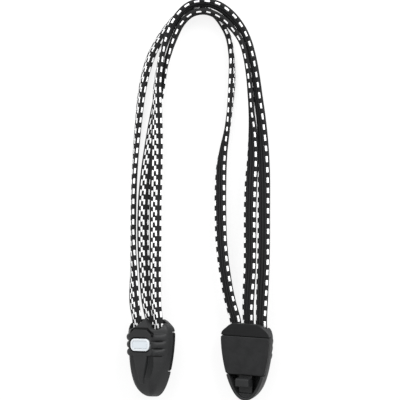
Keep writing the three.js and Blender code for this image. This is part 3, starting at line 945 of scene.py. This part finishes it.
def flankTop(u, v, swell, peak):
    d = clipDome
    height = frontHeight(v)
    wall = np.minimum(d["wall"], d["wallShare"] * height)
    reach = halfWidthAt(v)
    flat = d["crownFlat"] * reach
    fullness = d["bulge"] + (d["tipBulge"] - d["bulge"]) * np.maximum(v / clipOutline["tip"], 0)
    bulge = fullness * (reach - flat) + swell
    run = np.abs(u) - flat
    pull = peak * (reach - flat) + bulge
    root = np.sqrt(np.maximum(pull * pull + (reach - flat - 2 * pull) * run, clipMesh["tiny"]))
    t = np.clip(run / (pull + root), 0, d["beyond"])
    knee = height + peak * (wall - height) + bulge
    return height * (1 - t) ** 2 + 2 * knee * t * (1 - t) + wall * t * t


def aboveSurface(top, w, step):
    slopeU, slopeV = np.gradient(top, step)
    return (w - top[:, :, None]) / np.sqrt(1 + slopeU**2 + slopeV**2)[:, :, None]


# Outline of the reflector, grown or shrunk by a margin
def reflectorOutline(x, y, margin):
    r = reflectorShape
    corner = r["corner"] + margin
    qx = np.abs(x) - r["width"] / 2 - margin + corner
    qy = np.abs(y) - r["height"] / 2 - margin + corner
    return np.hypot(np.maximum(qx, 0), np.maximum(qy, 0)) + np.minimum(np.maximum(qx, qy), 0) - corner


def seatField(u, v, w):
    floor = clipDome["crown"] + clipFront["rise"] - reflectorShape["depth"]
    return np.maximum(reflectorOutline(u, v, reflectorShape["seatGap"]), floor - w)


def blockField(u, v, w, low, high):
    spans = [np.abs(x - (a + b) / 2) - (b - a) / 2 for x, a, b in zip((u, v, w), low, high)]
    return largest(*spans)


def seamNotches(u, v, w):
    cuts = []
    for y in (backPlate["top"], backPlate["bottom"]):
        x = halfWidthAt(y) + tabPocket["gap"]
        cuts.append((np.abs(np.abs(u) - x) + np.abs(v - y) - backPlate["notch"]) / math.sqrt(2))
    return np.maximum(np.minimum(*cuts), w - backPlate["thick"] - backPlate["notch"])


def frontForms(u, v, w):
    f, d = clipFront, clipDome
    chamferX, chamferY = f["plateauChamfer"]
    x, foot = f["plateauHalf"], f["plateauFoot"]
    plateau = planeDistance(mirrored([
        (x - foot, d["crownStart"] - foot),
        (x, d["crownStart"]),
        (x, d["ridge"] - chamferY),
        (x - chamferX, d["ridge"]),
    ]), u, v)
    wedge = planeDistance(mirrored([
        (f["wedgeEndHalf"], f["wedgeEnd"]),
        (f["wedgeHalf"], d["crownStart"] + foot),
    ]), u, v)
    wedgeTop = w - frontHeight(v) - f["rise"]
    flare = f["wedgeFlare"] / (d["crown"] + f["rise"] - d["wall"])
    plateauBody = smoothMax(plateau, w - d["crown"] - f["rise"], clipMesh["edge"])
    wedgeBody = smoothMax(wedge + wedgeTop * flare, wedgeTop * clipMesh["wedgeEase"], clipMesh["edge"])
    distance, half, depth = f["channel"]
    channel = np.maximum(np.abs(plateau - distance) - half, d["crown"] - depth - w)
    return plateauBody, wedgeBody, np.maximum(channel, f["channelFrom"] - v)


def scoopField(u, v, w):
    f = clipFront
    size = np.array(f["scoop"])
    middle = (clipDome["crownStart"] + f["wedgeEnd"]) / 2
    lean = math.atan2(f["wedgeHalf"] - f["wedgeEndHalf"], clipDome["crownStart"] - f["wedgeEnd"])
    across = (f["wedgeHalf"] + f["wedgeEndHalf"]) / 2 + f["scoopOffset"]
    x = np.abs(u) - across
    y = v - middle
    z = w - frontHeight(np.array(float(middle))) - f["rise"]
    turned = (x * math.cos(lean) - y * math.sin(lean), x * math.sin(lean) + y * math.cos(lean), z)
    far = np.sqrt(sum((p / s) ** 2 for p, s in zip(turned, size)))
    steep = np.sqrt(sum((p / s**2) ** 2 for p, s in zip(turned, size)))
    return far * (far - 1) / np.maximum(steep, clipMesh["tiny"])


def mouthField(u, v, w):
    m = strapMouth
    side, low, peak = m["halfWidth"], (m["lipNotchAt"], m["lipNotch"]), (0, m["lipPeak"])
    corner = (side, m["lipNotch"] + m["lipCorner"])
    right = [(side, clipOutline["top"] + m["past"])]
    for bend in ([corner, (side, m["lipNotch"]), low], [low, m["lipBend"], peak]):
        right += bezier(bend, clipMesh["bendSteps"])[:-1]
    left = [(-x, y) for x, y in reversed(right)]
    lip = planeDistance([*right, peak, *left], u, v)
    floor = m["outerDepth"] - strapWeave["thick"] / 2 - m["lean"] - m["slotGap"]
    return np.maximum(lip, floor - w)


def slotFields(u, v, w):
    m = strapMouth
    half = strapWeave["width"] / 2 + m["slotGap"]
    rise = strapWeave["thick"] / 2 + m["slotGap"]
    far = clipOutline["top"] + m["past"]
    start = m["wallBack"] - tabPocket["gap"]
    low, high = (-half, start, m["middleDepth"] - rise), (half, far, m["middleDepth"] + rise)
    cut = blockField(u, v, w, low, high)
    side = np.abs(u) - m["pitch"]
    for start, reach in ((start, rise), (m["flareStart"], rise + m["lean"])):
        low = (-half, start, m["outerDepth"] - reach)
        cut = np.minimum(cut, blockField(side, v, w, low, (half, far, m["outerDepth"] + reach)))
    return cut


# Pocket on both sides of the tongue: walls that lean in with depth, and a land that carries the tongue
def pocketField(u, v, w, outline):
    k, p = latchShape, tabPocket
    walls = (outline + p["wall"] + p["taper"] * w) / math.hypot(1, p["taper"])
    pocket = largest(v - p["top"], p["low"] - v, walls, w - p["depth"])
    land = largest(np.abs(u) - k["halfWidth"] - p["gap"], v - p["root"], k["depth"] - w)
    return smoothMax(pocket, -land, clipMesh["crisp"])


def shellField(u, v, w, step):
    edge, soft, crisp = clipMesh["edge"], clipMesh["soft"], clipMesh["crisp"]
    outline = planeDistance(mirrored(rightOutline()), u, v)
    lean = clipOutline["shoulderLean"] * smoothStep(v, clipOutline["leanFrom"], clipOutline["top"])
    sideways = np.abs(np.gradient(outline, step, axis=0))
    walls = outline + lean * sideways * np.clip(1 - w / clipDome["wall"], 0, 1)
    body = smoothMax(walls, aboveSurface(domeTop(u[:, :, 0], v[:, :, 0]), w, step), soft)
    body = smoothMax(body, -scoopField(u, v, w), edge)
    plateauBody, wedgeBody, channel = frontForms(u, v, w)
    for form in (plateauBody, wedgeBody):
        body = smoothMin(body, form, crisp)
    m = strapMouth
    lipSides = np.abs(u) - m["lipBend"][0]
    lip = largest(lipSides, v - m["lipPeak"], clipOutline["widest"] - v, m["lipUnder"] - w)
    lip = smoothMax(lip, w - frontHeight(v), edge)
    body = np.minimum(body, lip)
    body = smoothMax(body, -w, edge)
    p, b, c = tabPocket, backPlate, strapChamber
    recess = np.abs(v - (b["top"] + b["bottom"]) / 2) - (b["top"] - b["bottom"]) / 2 - p["gap"]
    chamberLow = (-c["halfWidth"], c["end"], 0)
    chamberHigh = (c["halfWidth"], m["wallBack"], c["depth"])
    cuts = [
        (channel, crisp),
        (seatField(u, v, w), crisp),
        (np.maximum(recess, w - b["thick"] - p["gap"]), crisp),
        (np.maximum(b["top"] - v, w - b["moonRecess"]), crisp),
        (seamNotches(u, v, w), crisp),
        (blockField(u, v, w, chamberLow, chamberHigh), crisp),
        (mouthField(u, v, w), edge),
        (slotFields(u, v, w), crisp),
        (pocketField(u, v, w, outline), edge),
    ]
    for cut, blend in cuts:
        body = smoothMax(body, -cut, blend)
    return body


def plateField(u, v, w, step):
    b = backPlate
    outline = planeDistance(mirrored(rightOutline()), u, v)
    ends = np.maximum(v - b["top"], b["bottom"] - v)
    plate = rounded(clipMesh["edge"], ends, outline, -w, w - b["thick"])
    return smoothMax(plate, -seamNotches(u, v, w), clipMesh["crisp"])


def tongueField(u, v, w, step):
    k, p = latchShape, tabPocket
    root = p["root"] + p["gap"]
    far = k["depth"] + k["thick"]
    low, high, cut = k["noseEnd"] - k["nose"], k["noseEnd"], k["chamfer"]
    shallow, top, groove = k["depth"], k["noseTop"], k["groove"]
    profile = [
        (root, shallow), (low, shallow), (low, top + 2 * cut), (low + cut, top),
        (high - cut, top), (high, top + cut), (high, shallow), (k["end"], shallow),
        (k["end"], far - cut), (k["end"] - cut, far), (k["pivot"] + groove, far),
        (k["pivot"], far - groove), (k["pivot"] - groove, far), (root, far),
    ]
    side = polygonDistance(profile, v[0], w[0])[None]
    return smoothMax(side, np.abs(u) - k["halfWidth"], clipMesh["edge"])


def reflectorTop():
    return clipDome["crown"] + clipFront["rise"] + reflectorShape["proud"]


def reflectorField(u, v, w, step):
    r = reflectorShape
    top = reflectorTop()
    floor = top - r["proud"] - r["depth"] + r["gap"]
    body = smoothMax(reflectorOutline(u, v, 0), w - top, r["bevel"])
    body = smoothMax(body, floor - w, r["ease"])
    window = reflectorOutline(u, v, -r["border"])
    return smoothMax(body, -np.maximum(window, top - r["panelDepth"] - w), r["ease"])


def filmField(u, v, w, step):
    r = reflectorShape
    top, gap = reflectorTop(), r["gap"] / 2
    body = reflectorOutline(u, v, -r["border"] - gap)
    low, high = top - r["panelDepth"] + gap, top - gap
    return rounded(r["ease"], body, w - high, low - w)


# Mesh of the zero level of a field: one point in each crossed cell, one quad for each crossed grid edge
def surfaceNet(field):
    cells = np.array(field.shape) - 1
    total = np.zeros((*cells, 3))
    count = np.zeros(tuple(cells))
    window = [slice(0, -1), slice(1, None)]
    for axis in range(3):
        others = [k for k in range(3) if k != axis]
        for pair in np.ndindex(2, 2):
            corner = [0, 0, 0]
            corner[others[0]], corner[others[1]] = pair
            near = field[tuple(window[k] for k in corner)]
            beyond = list(corner)
            beyond[axis] = 1
            far = field[tuple(window[k] for k in beyond)]
            crossed = (near < 0) != (far < 0)
            share = near[crossed] / (near[crossed] - far[crossed])
            place = np.tile(np.array(corner, float), (len(share), 1))
            place[:, axis] = share
            total[crossed] += place
            count[crossed] += 1
    used = count > 0
    number = np.full(tuple(cells), -1)
    number[used] = np.arange(used.sum())
    points = np.argwhere(used) + total[used] / count[used][:, None]
    quads = []
    for axis in range(3):
        a, b = (axis + 1) % 3, (axis + 2) % 3
        near = field.take(range(field.shape[axis] - 1), axis)
        far = field.take(range(1, field.shape[axis]), axis)
        edges = np.argwhere((near < 0) != (far < 0))
        rising = near[tuple(edges.T)] < 0
        ring = []
        for stepA, stepB in ((0, 0), (1, 0), (1, 1), (0, 1)):
            cell = edges.copy()
            cell[:, a] -= stepA
            cell[:, b] -= stepB
            ring.append(number[tuple(cell.T)])
        ring = np.stack(ring, axis=1)
        ring[~rising] = ring[~rising][:, ::-1]
        quads.append(ring)
    return points, np.concatenate(quads)


def sampled(field, points):
    base = np.clip(points.astype(int), 0, np.array(field.shape) - 2)
    part = points - base
    value = np.zeros(len(points))
    for corner in np.ndindex(2, 2, 2):
        weight = np.prod(np.where(corner, part, 1 - part), axis=1)
        value += weight * field[tuple((base + corner).T)]
    return value


def fieldMesh(name, fieldOf, low, high, step):
    axes = [np.arange(a - 2 * step, b + 2 * step, step) for a, b in zip(low, high)]
    u, v, w = np.meshgrid(*axes, indexing="ij", sparse=True)
    u, v = np.broadcast_arrays(u, v)
    field = fieldOf(u, v, w, step)
    points, quads = surfaceNet(field)
    slopes = np.gradient(field)
    rounds, way = clipMesh["settle"]
    for _ in range(rounds):
        slope = np.stack([sampled(s, points) for s in slopes], axis=1)
        steep = np.maximum((slope**2).sum(axis=1), (step / 2) ** 2)
        points = points - (sampled(field, points) / steep)[:, None] * slope * way
    places = points * step + np.array([axis[0] for axis in axes])
    return newMesh(name, places, quads.tolist(), "clipMm", places[quads.ravel(), :2])


# The plate's sides are smooth and near black, painted shade of the gap beside the shell
def sideShadeFaces(centres, normals):
    return np.abs(normals[:, 2]) < clipMesh["rimTilt"]


# Painted shade: the back above the plate, set back from the plate's face, is coloured darker than the plate
def moonShadeFaces(centres, normals):
    return (centres[:, 1] > backPlate["top"]) & (normals[:, 2] < -clipMesh["rimTilt"])


# Painted shade: the grooves round the reflector and the plateau, and the band below each rib, take the darkest
# plastic
def grooveShadeFaces(centres, normals):
    u, v, w = centres.T
    seat = seatField(u, v, w) < clipMesh["crisp"]
    channel = frontForms(u[:, None, None], v[:, None, None], w[:, None, None])[2][:, 0, 0]
    pitch = gripRibs["pitch"]
    between = np.abs((v / pitch) % 1 - 0.5) * pitch < gripRibs["shade"]
    topRib = (gripRibs["count"] - 1) / 2 * pitch
    between &= (v < topRib) & (v > -topRib - pitch) & (np.abs(u) > clipFront["plateauHalf"])
    between &= w > clipDome["wall"] + gripRibs["swell"]
    return seat | (channel < clipMesh["crisp"]) | between


reachAcross = clipOutline["halfWidth"] + clipMesh["beside"]
reflectorHalf = (reflectorShape["width"] / 2, reflectorShape["height"] / 2)
clipPieces = {
    "ClipShell": {
        "field": shellField,
        "low": (-reachAcross, clipOutline["tip"], 0),
        "high": (reachAcross, strapMouth["lipPeak"], reflectorTop()),
        "step": clipMesh["step"],
        "node": "clip_shell",
        "body": "clip",
        "slot": "clip_plastic",
        "look": clipPlastic,
        "others": [(moonShadePlastic, moonShadeFaces), (paintedShadePlastic, grooveShadeFaces)],
    },
    "BackPlate": {
        "field": plateField,
        "low": (-reachAcross, backPlate["bottom"], 0),
        "high": (reachAcross, backPlate["top"], backPlate["thick"]),
        "step": clipMesh["step"],
        "node": "back_plate",
        "body": "clip",
        "slot": "plate_plastic",
        "look": platePlastic,
        "others": [(paintedShadePlastic, sideShadeFaces)],
    },
    "LatchTongue": {
        "field": tongueField,
        "low": (-latchShape["halfWidth"], tabPocket["root"], latchShape["noseTop"]),
        "high": (latchShape["halfWidth"], latchShape["end"], latchShape["depth"] + latchShape["thick"]),
        "step": clipMesh["latchStep"],
        "node": "latch_tongue",
        "body": "latch",
        "slot": "clip_plastic",
        "look": clipPlastic,
    },
    "Reflector": {
        "field": reflectorField,
        "low": (-reflectorHalf[0], -reflectorHalf[1], reflectorTop() - reflectorShape["gridDepth"]),
        "high": (*reflectorHalf, reflectorTop()),
        "step": clipMesh["fineStep"],
        "node": "reflector",
        "body": "clip",
        "slot": "reflector_white",
        "look": reflectorWhite,
    },
    "ReflectorFilm": {
        "field": filmField,
        "low": (-reflectorHalf[0], -reflectorHalf[1], reflectorTop() - reflectorShape["filmGridDepth"]),
        "high": (*reflectorHalf, reflectorTop()),
        "step": clipMesh["fineStep"],
        "node": "reflector_film",
        "body": "clip",
        "slot": "reflector_film",
        "look": reflectorFilm,
    },
}


def otherLooks(mesh, others):
    centres, normals = (np.empty(3 * len(mesh.polygons), np.float32) for _ in range(2))
    mesh.polygons.foreach_get("center", centres)
    mesh.polygons.foreach_get("normal", normals)
    slots = np.zeros(len(mesh.polygons), np.int32)
    for number, (look, chosen) in enumerate(others, start=1):
        mesh.materials.append(look)
        slots[chosen(centres.reshape(-1, 3), normals.reshape(-1, 3))] = number
    mesh.polygons.foreach_set("material_index", slots)


def makeClips():
    for name, piece in clipPieces.items():
        mesh = fieldMesh(name, piece["field"], piece["low"], piece["high"], piece["step"])
        mesh.materials.append(piece["look"])
        otherLooks(mesh, piece.get("others", ()))
        for side, place in clipPlaces.items():
            copy = mesh.copy()
            copy.transform(place)
            made = addPiece(side + name, copy)
            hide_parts(side + "_" + piece["node"])
            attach(made, side + "_" + piece["body"])
        print(name, "made:", len(mesh.polygons), "faces")
        bpy.data.meshes.remove(mesh)


def dressCrimps():
    for name, node in cadNodes.items():
        if "_crimp_" in name:
            node.data.materials.clear()
            node.data.materials.append(crimpMetal)
    print("crimps dressed")


makeClips()
dressCrimps()

# White table under soft light from the upper right and the upper left
studio = {
    "floorSize": 6.0,
    "floorDrop": 0.0003,
    "floorColour": (0.92, 0.92, 0.92, 1),
    "floorGlow": 0.82,  # share of plain white that the camera sees, the rest takes the shadow
    "sky": 0.72,
    "lamps": [
        {"name": "keySoftbox", "at": (0.5, 0.65, 0.6), "size": 0.6, "power": 7.5},
        {"name": "topSoftbox", "at": (-0.4, 0.7, 1.0), "size": 0.9, "power": 10.0},
    ],
    "aim": (0.0, 0.12, 0.01),
}


def makeStage():
    half = studio["floorSize"] / 2
    mesh = bpy.data.meshes.new("tableTop")
    drop = -studio["floorDrop"]
    corners = [(-half, -half, drop), (half, -half, drop), (half, half, drop), (-half, half, drop)]
    mesh.from_pydata(corners, [], [(0, 1, 2, 3)])
    floor = addPiece("tableTop", mesh)
    material, tree = newMaterial("whiteTable")
    tree.nodes.remove(tree.nodes["Principled BSDF"])
    paint = addNode(tree, "ShaderNodeBsdfDiffuse", {"Color": studio["floorColour"]})
    glow = addNode(tree, "ShaderNodeEmission", {"Strength": 1.0})
    seen = math2(tree, "MULTIPLY", straightRays(tree), studio["floorGlow"])
    mix = addNode(tree, "ShaderNodeMixShader", {0: seen, 1: paint.outputs[0], 2: glow.outputs[0]})
    feed(tree, tree.nodes["Material Output"].inputs["Surface"], mix.outputs[0])
    mesh.materials.append(material)


def straightRays(tree):
    rays = addNode(tree, "ShaderNodeLightPath").outputs
    total = math2(tree, "ADD", rays["Is Camera Ray"], rays["Is Glossy Ray"])
    return math2(tree, "MINIMUM", math2(tree, "ADD", total, rays["Is Transmission Ray"]), 1.0)


def makeLight():
    world = bpy.data.worlds.new("studioSky")
    scene.world = world
    world.use_nodes = True
    tree = world.node_tree
    sky = tree.nodes["Background"].inputs
    feed(tree, sky["Color"], (1, 1, 1, 1))
    feed(tree, sky["Strength"], remap(tree, straightRays(tree), 0.0, 1.0, studio["sky"], 1.0))
    for lamp in studio["lamps"]:
        data = bpy.data.lights.new(lamp["name"], "AREA")
        data.shape = "DISK"
        data.size = lamp["size"]
        data.energy = lamp["power"]
        made = bpy.data.objects.new(lamp["name"], data)
        made.location = lamp["at"]
        towards = Vector(studio["aim"]) - made.location
        made.rotation_euler = towards.to_track_quat("-Z", "Y").to_euler()
        scene.collection.objects.link(made)
    scene.view_settings.view_transform = "Standard"


makeStage()
makeLight()
print("stage lit")
